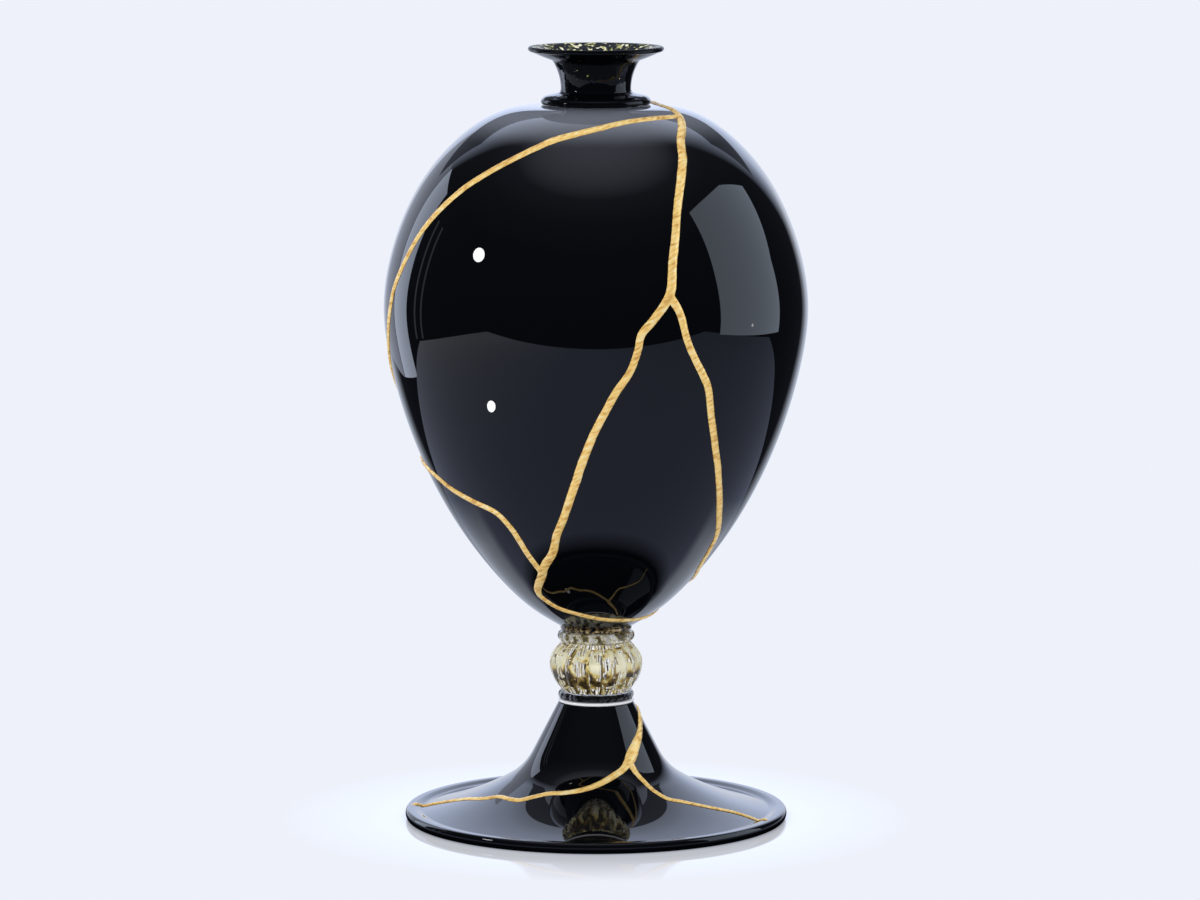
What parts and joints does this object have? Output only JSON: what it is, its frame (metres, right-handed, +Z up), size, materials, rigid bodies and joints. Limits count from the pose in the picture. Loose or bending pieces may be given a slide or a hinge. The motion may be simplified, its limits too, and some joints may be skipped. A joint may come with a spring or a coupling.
{
  "type": "kintsugi vase",
  "caption": "Footed vase: hollow ovoid body of black glass, ribbed crystal knop, spreading foot, short neck with a flared flecked lip, and raised gilded repair seams.",
  "frame": {"origin": "centre of the foot's underside, on the surface that the vase stands on", "axes": "+Z up along the vase's axis, -Y towards the side that the picture shows, +X to the right of that side"},
  "size_m": [0.1718, 0.1727, 0.3151],
  "materials": {
    "black_glass": "polished, near opaque black",
    "flecked_glass": "polished black with yellow-gold leaf flecks",
    "crystal": "clear, ribbed, with gold leaf inside",
    "clear_thread": "clear, polished",
    "gold": "satin gold, finely brushed"
  },
  "bodies": {
    "root": {"foot": "black_glass", "thread_ring": "clear_thread", "black_ring": "black_glass", "knop": "crystal", "knop_ring": "crystal", "collar": "flecked_glass", "body": "black_glass", "neck": "flecked_glass", "body_seams": "gold", "foot_seams": "gold"}
  },
  "joints": []
}
